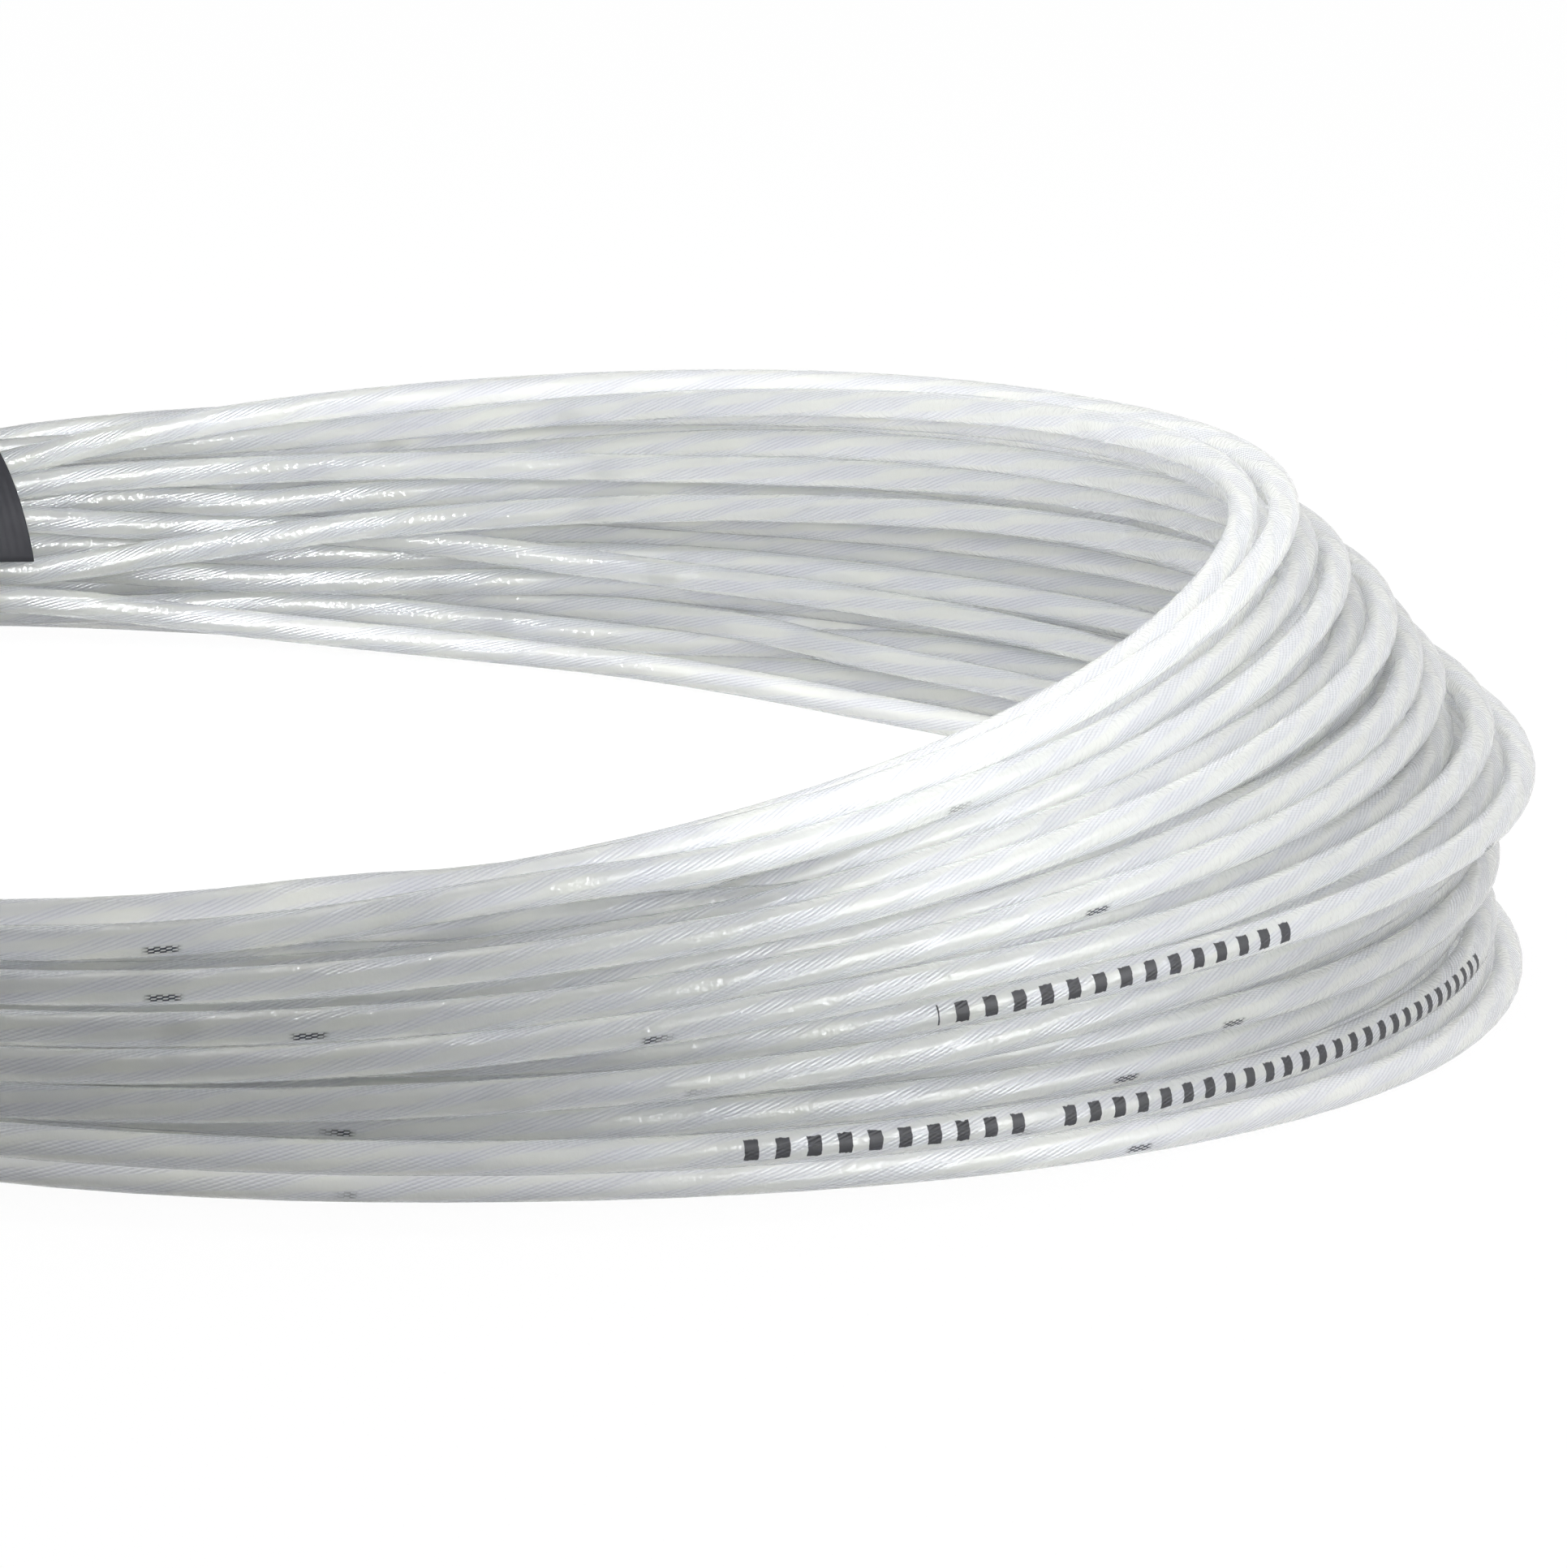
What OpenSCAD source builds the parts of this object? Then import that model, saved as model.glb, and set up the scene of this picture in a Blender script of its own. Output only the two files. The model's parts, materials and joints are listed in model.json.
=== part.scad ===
// A tied coil of racket string: one length of string wound in many turns, held by two
// twist ties. The turns lie close together at the ties and open into a fan at the right.
// Lengths are in millimetres and angles in degrees. Angle 0 is +X, and +Z is up.

/* [String] */
// Diameter of the string
string_d = 1.3; // [1.1:0.05:1.4]
// Number of turns in the coil
turns = 38; // [30:1:40]
// Share of the tied bundle's cross-section that string fills
packing = 0.74; // [0.7:0.01:0.85]
// Length of the straight tip of the string's free end
tip_l = 12; // [8:1:20]

/* [Coil] */
// Radius from the coil's centre to the middle of the tied bundle
coil_r = 52.8; // [50:0.2:56]
// Height of the fan of turns at the right end
fan_h = 19.6; // [15:0.2:22]
// Radial width of each bunch in the fan
fan_w = 4.6; // [3.6:0.1:5.6]
// How far the left side opens, as a share of the fan at the right
slack = 0.22; // [0:0.02:0.4]
// Clearance between one bunch of turns and the next
bunch_gap = 0.12; // [0.08:0.02:0.3]

/* [Ties] */
// Angle of each tie from the middle of the fan
tie_angle = 110.5; // [104:0.5:118]
// Width of the tie's plastic strip
strip_w = 5; // [3:0.5:6]
// Thickness of the tie's plastic strip
strip_t = 0.4; // [0.35:0.05:0.6]
// Diameter of the wire inside the strip
wire_d = 0.25; // [0.15:0.05:0.3]
// Radial clearance between the bundle and the tie round it
tie_gap = 0.12; // [0.1:0.02:0.4]
// Length of the twisted ends
twist_l = 9; // [6:0.5:14]
// Width of the strips where they are twisted together
twist_w = 3.2; // [2.4:0.2:4]
// Turns in the twisted ends
twist_turns = 1.5; // [1:0.5:3]
// Length that the wire stands out of each cut end
wire_out = 0.5; // [0.3:0.1:1]

/* [Hidden] */
$fn = 48;

// The bundle at the ties is a circle with the area that the turns need
bundle_r = string_d/2*sqrt(turns/packing);
string_r = string_d/2;

// The stack of five bunches, from the bottom up: where one ends and the next starts, as a
// share of the stack's height, in the tied bundle and in the fan
tied_cuts = [0, 0.31, 0.48, 0.62, 0.76, 1];
fan_cuts = [0, 0.26, 0.48, 0.65, 0.82, 1];
top = len(fan_cuts) - 2;
// How far the middle of each bunch stands outside the tied bundle's middle, in the fan
fan_shift = [-1.1, -1.2, -4.6, -7.5, -11.6];
// How the fan opens: a higher number keeps the front's bundle close for longer, and the
// back's bundle wide open for longer
front_power = 1.9;
back_spread = 1.13;

// The strip passes under the bundle, which rises over it at each tie
tie_lift = strip_t + tie_gap;
lift_flat = asin(strip_w/2/coil_r) + 1.8;
lift_end = lift_flat + 9.5;
tie_bore = bundle_r + tie_gap;
tie_z = tie_lift + bundle_r;

// Half width of the flat that the bundle lies on, and of the one on top
flat_w = 0.9;
ring_step = 5;
ring_n = 360/ring_step;
levels = [-1, -0.75, -0.3, 0.3, 0.75, 1];
lobe_pinch = 0.75;

// Share of the way from the tied bundle to the open fan, at angle a from -180 to 180
function opening(a) =
    abs(a) > tie_angle ? slack*(1 - cos(180*(abs(a) - tie_angle)/(180 - tie_angle)))/2
    : a < 0 ? pow(cos(90*a/tie_angle), front_power)
    : cos(90*pow(a/tie_angle, back_spread));

function lift_at(off) =
    off < lift_flat ? tie_lift
    : off > lift_end ? 0
    : tie_lift*(1 + cos(180*(off - lift_flat)/(lift_end - lift_flat)))/2;

function mix(a, b, share) = a + (b - a)*share;
// Half the width of the tied bundle at a share of its height
function chord(share) = max(flat_w, 2*bundle_r*sqrt(share*(1 - share)));
// Half the width of a bunch in the fan, at a level from -1 to 1 in it
function lobe(level) = fan_w/2*sqrt(1 - lobe_pinch*level*level);

// One bunch's outline at one angle: up its outer side and down its inner side, as [r, z]
function bunch_side(b, a, side) =
    let(s = opening(a), low = b == 0 ? 0 : bunch_gap/2, high = b == top ? 0 : bunch_gap/2)
    [for (level = levels)
        let(up = (level + 1)/2, share = mix(tied_cuts[b], tied_cuts[b + 1], up),
            fan_share = mix(fan_cuts[b], fan_cuts[b + 1], up),
            z = mix(2*bundle_r*share, fan_h*fan_share, s) + mix(low, -high, up))
        [coil_r + fan_shift[b]*s + side*mix(chord(share), lobe(level), s),
            z + lift_at(abs(abs(a) - tie_angle))]];
function reversed(list) = [for (i = [len(list) - 1:-1:0]) list[i]];
function bunch_section(b, a) = concat(bunch_side(b, a, 1), reversed(bunch_side(b, a, -1)));
function turned(p, a) = [p[0]*cos(a), p[0]*sin(a), p[1]];
function bunch_points(b) =
    [for (i = [0:ring_n - 1]) let(a = i*ring_step - 180)
        for (p = bunch_section(b, a)) turned(p, a)];

// The origin is under the middle of the turns' own box
all_points = [for (b = [0:top]) for (p = bunch_points(b)) p];
function middle(axis) =
    let(values = [for (p = all_points) p[axis]]) (min(values) + max(values))/2;
centre = [middle(0), middle(1)];

// Triangles between rings of m points each, n rings, closed into a loop or with flat ends
function strip_faces(i, j, m) =
    [for (k = [0:m - 1]) let(l = (k + 1)%m)
        each [[i*m + k, i*m + l, j*m + l], [i*m + k, j*m + l, j*m + k]]];
function loop_faces(n, m) = [for (i = [0:n - 1]) each strip_faces(i, (i + 1)%n, m)];
function tube_faces(n, m) = concat(
    [for (i = [0:n - 2]) each strip_faces(i, i + 1, m)],
    [[for (k = [m - 1:-1:0]) k], [for (k = [0:m - 1]) (n - 1)*m + k]]);

module bunch(b) {
    translate([-centre[0], -centre[1], 0])
        polyhedron(bunch_points(b), loop_faces(ring_n, 2*len(levels)), convexity = 8);
}

module turns_bottom() { color([0.86, 0.87, 0.86]) bunch(0); }
module turns_lower() { color([0.88, 0.89, 0.88]) bunch(1); }
module turns_middle() { color([0.84, 0.86, 0.87]) bunch(2); }
module turns_upper() { color([0.88, 0.89, 0.9]) bunch(3); }
module turns_top() { color([0.86, 0.87, 0.9]) bunch(top); }

// The free end leaves the coil beside the front tie and lies on the table, with a straight
// tip. X is outwards from the bundle's side, Y is along the bundle from the tie's edge, and
// Z is the height above a string that lies on the table.
start_route = [[-0.6, 0.4, 0.9], [-0.8, 3.3, 0.6], [-1.2, 6.4, 0.3], [-1.8, 9.4, 0.1],
    [-2.5, 12.3, 0], [-3.3, 15.2, 0], [-4.2, 18.1, 0], [-5.2, 20.9, 0], [-6.3, 23.7, 0]];
tube_sides = 8;
start_n = len(start_route);
tip_base = start_route[start_n - 1];
tip_dir = unit(tip_base - start_route[start_n - 2]);

function unit(v) = v/norm(v);
function tangent(path, i) =
    unit(path[min(i + 1, len(path) - 1)] - path[max(i - 1, 0)]);
function tube_ring(p, t) =
    let(u = unit(cross([0, 0, 1], t)), v = cross(t, u))
    [for (k = [0:tube_sides - 1]) let(a = 360*(k + 0.5)/tube_sides)
        p + string_r*(cos(a)*u + sin(a)*v)];

module beside_front_tie() {
    at_tie(-1)
        translate([bundle_r, strip_w/2, string_r - tie_z])
            children();
}

module string_start() {
    color([0.86, 0.87, 0.86])
        beside_front_tie()
            polyhedron([for (i = [0:start_n - 1])
                each tube_ring(start_route[i], tangent(start_route, i))],
                tube_faces(start_n, tube_sides));
}

module string_tip() {
    color([0.86, 0.87, 0.86])
        beside_front_tie()
            translate(tip_base)
                rotate([0, 0, atan2(tip_dir[1], tip_dir[0])])
                    rotate([0, 90, 0])
                        cylinder(h = tip_l, r = string_r);
}

// A tie's own frame: X outwards from the coil's centre, Y along the bundle and away from
// the fan, Z up, with the bundle's middle at the origin
module at_tie(side) {
    translate([-centre[0], -centre[1], 0])
        mirror([0, side < 0 ? 1 : 0, 0])
            rotate([0, 0, tie_angle])
                translate([coil_r, 0, tie_z])
                    children();
}

// Angles round the bundle go from the outer side (0) over the top (90) to the inner side
neck_angle = 112;
fold_end = 187;
fold_shift = 1.2;
band_r = tie_bore + strip_t;
fold_r = band_r + strip_t;
neck_r = fold_r + twist_w/2;
// How far one layer of the strip is sunk into the next, so that they are one piece
sink = strip_t/4;
// Radii of the wire's middle, in the band and in the fold
wire_r = tie_bore + strip_t/2;
fold_wire_r = wire_r + strip_t;
wire_out_angle = wire_out/fold_wire_r*180/PI;
wire_sides = 16;

module round_bundle(start, span, across) {
    rotate([90, 0, 0])
        rotate([0, 0, start])
            rotate_extrude(angle = span)
                translate(across)
                    children();
}

// The wire runs round the bundle, up the neck, along the twist, and down into the fold
module tie_wire() {
    round_bundle(0, 360, [wire_r, 0])
        circle(d = wire_d, $fn = wire_sides);
    round_bundle(neck_angle, fold_end - neck_angle + wire_out_angle, [fold_wire_r, fold_shift])
        circle(d = wire_d, $fn = wire_sides);
    rotate([0, -neck_angle, 0]) {
        translate([wire_r, 0, 0])
            rotate([0, 90, 0])
                wire(neck_r - wire_r);
        translate([fold_wire_r, 0, 0])
            rotate([90, 0, 0])
                wire(fold_shift);
        translate([neck_r, 0, 0])
            rotate([-90, 0, 0])
                wire(twist_l + wire_out);
    }
}

module wire(length) {
    cylinder(h = length, d = wire_d, $fn = wire_sides);
}

module tie_band() {
    rotate([90, 0, 0])
        difference() {
            cylinder(h = strip_w, r = band_r, center = true);
            cylinder(h = 2*strip_w, r = tie_bore, center = true);
        }
}

// One end is folded down over the inner side
module tie_fold() {
    round_bundle(neck_angle, fold_end - neck_angle, [band_r - sink, fold_shift - strip_w/2])
        square([strip_t + sink, strip_w]);
}

// The ends come together in a neck and are twisted along the bundle
module tie_ends() {
    rotate([0, -neck_angle, 0]) {
        translate([band_r - sink, -twist_w/2, -strip_t])
            cube([neck_r - band_r + sink + strip_t, twist_w, 2*strip_t]);
        translate([neck_r, 0, 0])
            rotate([-90, 0, 0])
                linear_extrude(height = twist_l, twist = 360*twist_turns, slices = 24,
                    segments = 4)
                    square([2*strip_t, twist_w], center = true);
    }
}

module tie_strip() {
    difference() {
        union() {
            tie_band();
            tie_fold();
            tie_ends();
        }
        tie_wire();
    }
}

module rear_tie_strip() { color([0.08, 0.08, 0.09]) at_tie(1) tie_strip(); }
module rear_tie_wire() { color([0.6, 0.6, 0.62]) at_tie(1) tie_wire(); }
module front_tie_strip() { color([0.08, 0.08, 0.09]) at_tie(-1) tie_strip(); }
module front_tie_wire() { color([0.6, 0.6, 0.62]) at_tie(-1) tie_wire(); }

turns_bottom();
turns_lower();
turns_middle();
turns_upper();
turns_top();
string_start();
string_tip();
rear_tie_strip();
rear_tie_wire();
front_tie_strip();
front_tie_wire();
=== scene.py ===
# %% [markdown]
# # A tied coil of racket string
#
# One length of clear-white string lies on a table in a tied coil. Its turns are packed tight
# at two black twist ties and open into a fan at one end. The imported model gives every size
# and place, so the first step is to load it. The visible pieces then follow one by one.

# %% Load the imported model
import math
import bpy
import bmesh
import numpy as np
from mathutils import Matrix, Vector
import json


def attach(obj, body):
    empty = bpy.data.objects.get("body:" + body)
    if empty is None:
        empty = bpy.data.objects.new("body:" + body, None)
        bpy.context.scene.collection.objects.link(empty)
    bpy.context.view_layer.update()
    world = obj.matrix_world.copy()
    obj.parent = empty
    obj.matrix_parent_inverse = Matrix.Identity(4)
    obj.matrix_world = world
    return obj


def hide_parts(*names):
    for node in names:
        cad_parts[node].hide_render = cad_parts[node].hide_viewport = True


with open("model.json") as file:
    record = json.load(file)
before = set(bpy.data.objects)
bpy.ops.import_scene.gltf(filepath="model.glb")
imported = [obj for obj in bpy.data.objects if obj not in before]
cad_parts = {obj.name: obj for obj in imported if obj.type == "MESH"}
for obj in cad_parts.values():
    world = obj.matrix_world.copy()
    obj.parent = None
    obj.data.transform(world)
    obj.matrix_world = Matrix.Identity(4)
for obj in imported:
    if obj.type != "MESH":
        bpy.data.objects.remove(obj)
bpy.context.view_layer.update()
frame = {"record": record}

MM = 0.001
mounts = {mount["name"]: mount for mount in frame["record"]["mounts"]}
ring_centre = Vector(mounts["coil_centre"]["pos_m"][:2] + [0.0])
print("The coil's centre stands at", tuple(round(value, 5) for value in ring_centre))

# %% [markdown]
# ## The camera
#
# A long lens close to the table makes a coil look like this: nearly from the side, with the
# near strands clearly larger than the far ones. A camera is easiest to aim by three angles,
# but here it is built from its own axes, because then the roll and the sideways offset are
# plain numbers. The view direction is tilted down, and the other two axes are rolled round it.

# %% Camera
bpy.context.scene.view_settings.view_transform = "Standard"
VIEW_DOWN = math.radians(11.607)
VIEW_ROLL = math.radians(3.329)
VIEW_DISTANCE = 391.411*MM
VIEW_RIGHT = 23.001*MM
VIEW_UP = 4.174*MM
LENS_MM = 214.4
SENSOR_MM = 36.0

forward = Vector((0, math.cos(VIEW_DOWN), -math.sin(VIEW_DOWN)))
level_right = Vector((1, 0, 0))
level_up = level_right.cross(forward)
view_x = level_right*math.cos(VIEW_ROLL) + level_up*math.sin(VIEW_ROLL)
view_y = level_up*math.cos(VIEW_ROLL) - level_right*math.sin(VIEW_ROLL)
eye = ring_centre - forward*VIEW_DISTANCE + view_x*VIEW_RIGHT + view_y*VIEW_UP

camera_data = bpy.data.cameras.new("camera")
camera_data.lens = LENS_MM
camera_data.sensor_width = SENSOR_MM
camera_data.sensor_fit = "HORIZONTAL"
camera_data.clip_start = 0.01
camera_data.clip_end = 20.0
camera = bpy.data.objects.new("camera", camera_data)
bpy.context.collection.objects.link(camera)
axes = Matrix((view_x, view_y, -forward)).transposed().to_4x4()
camera.matrix_world = Matrix.Translation(eye) @ axes
bpy.context.scene.camera = camera
print("The camera stands", round(eye.z/MM), "mm above the table")

# %% [markdown]
# ## The plan of the coil
#
# Each turn passes through both ties and through the fan. The turns could be drawn one by
# one, but 38 strands that cross and touch are more than a hand can place. So the plan says
# only how the bundle changes round the ring: a share of 0 is the tight round bundle, and 1
# is the open fan. The angle runs from the middle of the fan, and the numbers are the ones
# that the solid model uses, in millimetres and degrees.

# %% Sizes of the coil
STRING_D = 1.3
STRING_R = STRING_D/2
STRING_LENGTH = 12200.0
TURNS = 38
PACKING = 0.74
COIL_R = 52.8
SLACK = 0.22
TIE_ANGLE = 110.5
STRIP_W = 5.0
STRIP_T = 0.4
TIE_GAP = 0.12
FRONT_POWER = 1.9
BACK_SPREAD = 1.13

bundle_r = STRING_R*math.sqrt(TURNS/PACKING)
tie_lift = STRIP_T + TIE_GAP
lift_flat = math.degrees(math.asin(STRIP_W/2/COIL_R)) + 1.8
lift_fade = 9.5
print("The tied bundle is", round(2*bundle_r, 2), "mm thick")


def wrapped(angle):
    """The same direction, as an angle from -180 to 180."""
    return (angle + 180) % 360 - 180


def opening(angle):
    """Share of the way from the tied bundle to the open fan."""
    angle = wrapped(angle)
    way = np.minimum(np.abs(angle)/TIE_ANGLE, 1)
    front = np.cos(math.pi/2*way).clip(0)**FRONT_POWER
    back = np.cos(math.pi/2*way**BACK_SPREAD).clip(0)
    past_tie = (np.abs(angle) - TIE_ANGLE)/(180 - TIE_ANGLE)
    left = SLACK*(1 - np.cos(math.pi*past_tie))/2
    return np.where(way < 1, np.where(angle < 0, front, back), left)


def lift(angle):
    """Height of the bundle over the table, which it needs where a tie passes under it."""
    off = np.abs(np.abs(wrapped(angle)) - TIE_ANGLE)
    fade = (1 + np.cos(math.pi*((off - lift_flat)/lift_fade).clip(0, 1)))/2
    return tie_lift*fade


# %% [markdown]
# ## A place for every turn
#
# In the tie, a turn's place is a slot in a round stack of seven rows. In the fan, the turns
# stand in a slanted curtain, two or three strands deep. Six of them are its outer edge and
# give the fan its stepped outline. The order from bottom to top is kept from the tie to the
# fan, with some disorder, so that strands cross at shallow angles, as in a coil that
# somebody wound by hand.

# %% Slots in the ties and in the fan
TIED_ROWS = [4, 5, 6, 7, 7, 5, 4]
FAN_ROWS = [3, 2, 3, 3, 3, 3, 3, 3, 3, 3, 3, 2, 2, 2]
# Radius and height of the fan's outer strands, where the fan is widest
EDGE_STRANDS = np.array([[53.35, 0.75], [52.1, 4.9], [53.25, 9.25],
                         [49.25, 12.4], [47.0, 15.0], [42.8, 18.8]])
TOP_ROW = 0.93
FAN_PITCH = 1.33
FAN_RECESS = 1.0
FAN_WOBBLE = 0.15
HEIGHT_DISORDER = 0.35
SWAPS = 14
SWAP_REACH = 5
SEED = 3
rng = np.random.default_rng(SEED)


def tied_slots():
    """Places in the round bundle, from its middle, as outwards and up."""
    reach = bundle_r - STRING_R
    heights = np.linspace(-TOP_ROW, TOP_ROW, len(TIED_ROWS))*reach
    slots = []
    for row, (count, up) in enumerate(zip(TIED_ROWS, heights)):
        half = math.sqrt(reach**2 - up**2)
        places = np.linspace(-half, half, count)
        slots += [(out, up) for out in (places if row % 2 else places[::-1])]
    return np.array(slots)


def shuffled(slots):
    """The slots' order after swaps between near neighbours. The first turn keeps its slot."""
    order = np.arange(TURNS)
    for _ in range(SWAPS):
        one = rng.integers(1, TURNS)
        away = np.linalg.norm(slots[order] - slots[order[one]], axis=1)
        away[[0, one]] = np.inf
        other = rng.choice(np.argsort(away)[:SWAP_REACH])
        order[one], order[other] = order[other], order[one]
    return order


def fan_slots(slots):
    """Places in the open fan, as radius and height, for each turn in its order in the ties."""
    by_height = np.argsort(slots[:, 1] + rng.normal(0, HEIGHT_DISORDER, TURNS))
    heights = np.linspace(STRING_R, EDGE_STRANDS[-1, 1], len(FAN_ROWS))
    edge_rows = [int(np.argmin(abs(heights - z))) for z in EDGE_STRANDS[:, 1]]
    fan = np.zeros((TURNS, 2))
    used = 0
    for row, (count, height) in enumerate(zip(FAN_ROWS, heights)):
        turns = by_height[used:used + count]
        turns = turns[np.argsort(-slots[turns, 0])]
        used += count
        if row in edge_rows:
            outer, height = EDGE_STRANDS[edge_rows.index(row)]
        else:
            outer = np.interp(height, EDGE_STRANDS[:, 1], EDGE_STRANDS[:, 0]) - FAN_RECESS
        for place, turn in enumerate(turns):
            wobble = rng.normal(0, FAN_WOBBLE) if place else 0
            fan[turn] = outer - place*FAN_PITCH, height + wobble
    return fan


slots = tied_slots()
front_slots = slots[shuffled(slots)]
rear_slots = slots[shuffled(slots)]
fan_places = fan_slots(slots)
print("Places for", len(slots), "turns in the ties and", len(fan_places), "in the fan")

# %% [markdown]
# ## The route of the whole string
#
# The string is one route of stations, one every three degrees. Its wish at each station is a
# mix of its place in the ties and its place in the fan, with a slow random drift. The free
# end is different: its points were chosen beside the front tie, and it lies on the
# table. So the route starts there, and the last turn ends on top of the bundle.

# %% Wished route
STEP = 3
STATIONS = 360//STEP
# From the front tie on: outwards from the bundle, along it, and up from the table
FREE_END = [[-0.6, 0.4, 0.9], [-0.8, 3.3, 0.6], [-1.2, 6.4, 0.3],
            [-1.8, 9.4, 0.1], [-2.5, 12.3, 0], [-3.3, 15.2, 0],
            [-4.2, 18.1, 0], [-5.2, 20.9, 0], [-6.3, 23.7, 0]]
FREE_SKIPPED = 2
TIP_LENGTH = 12.0
# Reach in degrees and size in millimetres
DRIFTS = [(70, 0.4), (33, 0.16)]
DRIFT_OPEN = 0.7
DRIFT_UP = 0.7
START_ANGLE = -135
LAST_TURN_ANGLE = 204
END_ANGLE = 360*(TURNS - 1) + LAST_TURN_ANGLE
LAST_OUT = 1.2
LAST_UP = 0.4


def from_front_tie(point):
    """A point beside the front tie, as the solid model gives it, from the coil's centre."""
    out, along, up = point
    x, y = COIL_R + bundle_r + out, STRIP_W/2 + along
    turn = math.radians(TIE_ANGLE)
    return np.array([x*math.cos(turn) - y*math.sin(turn),
                     -x*math.sin(turn) - y*math.cos(turn), STRING_R + up])


def keyed(angles, front_values, rear_values, last_value):
    """Values that pass smoothly from each tie to the next, turn by turn."""
    keys = np.array([side*TIE_ANGLE + 360*turn for turn in range(TURNS + 1) for side in (-1, 1)])
    values = np.stack([front_values, rear_values], 1).reshape(-1, 2)
    values = np.concatenate([values, [last_value, last_value]])
    key = np.clip(np.searchsorted(keys, angles, side="right") - 1, 0, len(keys) - 2)
    share = np.clip((angles - keys[key])/(keys[key + 1] - keys[key]), 0, 1)[:, None]
    share = share*share*(3 - 2*share)
    return values[key]*(1 - share) + values[key + 1]*share


def drift(angles, reach, size):
    """A smooth random offset that changes over that many degrees."""
    way = (angles - angles[0])/reach
    knots = rng.normal(0, size, (int(way[-1]) + 2, 2))
    knot = way.astype(int)
    share = (way - knot)[:, None]
    share = share*share*(3 - 2*share)
    return knots[knot]*(1 - share) + knots[knot + 1]*share


angles = np.arange(START_ANGLE, END_ANGLE + 1, STEP).astype(float)
open_share = opening(angles)[:, None]
last_slot = [LAST_OUT, bundle_r + LAST_UP]
tied = keyed(angles, front_slots, rear_slots, last_slot) + [COIL_R, bundle_r]
fanned = keyed(angles, fan_places, fan_places, fan_places[-1])
wish = tied*(1 - open_share) + fanned*open_share
wish[:, 1] += lift(angles)
for reach, size in DRIFTS:
    wish += drift(angles, reach, size)*open_share**DRIFT_OPEN*[1, DRIFT_UP]

free_end = np.array([from_front_tie(point) for point in FREE_END])
tail = free_end[:FREE_SKIPPED - 1:-1]
tail_angles = np.degrees(np.arctan2(tail[:, 1], tail[:, 0]))
tail_radii = np.linalg.norm(tail[:, :2], axis=1)
before_tie = angles < -TIE_ANGLE
knots = np.append(tail_angles, -TIE_ANGLE)
first_slot = wish[before_tie.sum()]
wish[before_tie, 0] = np.interp(angles[before_tie], knots, np.append(tail_radii, first_slot[0]))
wish[before_tie, 1] = np.interp(angles[before_tie], knots, np.append(tail[:, 2], first_slot[1]))
held = angles < tail_angles[-2]
print("Stations on the string:", len(angles))

# %% [markdown]
# ## Let the strands settle
#
# Two strands can't be in one place. A rigid-body or cloth simulation of 12 m of stiff string
# would be slow and would never come to rest. It is enough to look at one slice across the
# bundle at a time: every station at the same angle round the ring. Strands nearer than a
# diameter push each other apart, a stiff string evens out its own bends, each strand is
# drawn to its wish, and the ties and the table are walls. A few hundred rounds settle it.

# %% Settling
ROUNDS = 200
PULL_FIRST = 0.14
PULL_LAST = 0.04
PULL_FADE = 1.5
PUSHES = 3
PUSH = 0.45
TOUCH = STRING_D*1.004
TIE_REACH = 4.0
LATE = 0.8

lap_start = (START_ANGLE//STEP) % STATIONS
laps = math.ceil((lap_start + len(angles))/STATIONS)
slice_angles = np.arange(STATIONS)*STEP
one, other = np.triu_indices(laps, 1)
filled = np.zeros(laps*STATIONS, bool)
filled[lap_start:lap_start + len(angles)] = True
filled = filled.reshape(laps, STATIONS).T
both = filled[:, one] & filled[:, other]
sides = np.zeros((laps, len(one)))
sides[one, np.arange(len(one))] = 1
sides[other, np.arange(len(one))] = -1
in_tie = np.abs(np.abs(wrapped(slice_angles)) - TIE_ANGLE) <= TIE_REACH
floor_height = STRING_R + lift(slice_angles)[:, None]
bundle_middle = np.stack([np.full(STATIONS, COIL_R),
                          bundle_r + lift(slice_angles)], 1)[:, None]


def to_slices(route):
    grid = np.zeros((laps*STATIONS, 2))
    grid[lap_start:lap_start + len(angles)] = route
    return grid.reshape(laps, STATIONS, 2).transpose(1, 0, 2)


def to_route(slices):
    return slices.transpose(1, 0, 2).reshape(-1, 2)[lap_start:lap_start + len(angles)]


def evened(route):
    """The string bends as little as it can: each station moves towards its neighbours' middle."""
    result = route.copy()
    result[1:-1] += ((route[2:] + route[:-2])/2 - route[1:-1])/2
    return result


def pushed_apart(slices):
    apart = slices[:, one] - slices[:, other]
    distance = np.sqrt((apart**2).sum(-1)) + 1e-9
    push = np.where(both, (TOUCH - distance).clip(0)*PUSH/distance, 0)
    return slices + np.matmul(sides, apart*push[..., None])


def inside_walls(slices):
    out = slices - bundle_middle
    distance = np.sqrt((out**2).sum(-1, keepdims=True)) + 1e-9
    limit = bundle_r - STRING_R
    tight = in_tie[:, None, None] & (distance > limit)
    slices = np.where(tight, bundle_middle + out/distance*limit, slices)
    slices[..., 1] = np.maximum(slices[..., 1], floor_height)
    return slices


route = wish.copy()
for turn in range(ROUNDS):
    share = turn/ROUNDS
    pull = PULL_LAST + (PULL_FIRST - PULL_LAST)*(1 - share)**PULL_FADE
    route += (wish - route)*pull
    route = evened(route)
    if share < LATE:
        route = evened(route)
    slices = to_slices(route)
    for _ in range(PUSHES):
        slices = inside_walls(pushed_apart(slices))
    route = to_route(slices)
    route[held] = wish[held]

gaps = to_slices(route)[:, one] - to_slices(route)[:, other]
nearest = np.where(both, np.sqrt((gaps**2).sum(-1)), np.inf).min()
print("The closest strands are", round(float(nearest), 2), "mm apart, middle to middle")

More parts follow.
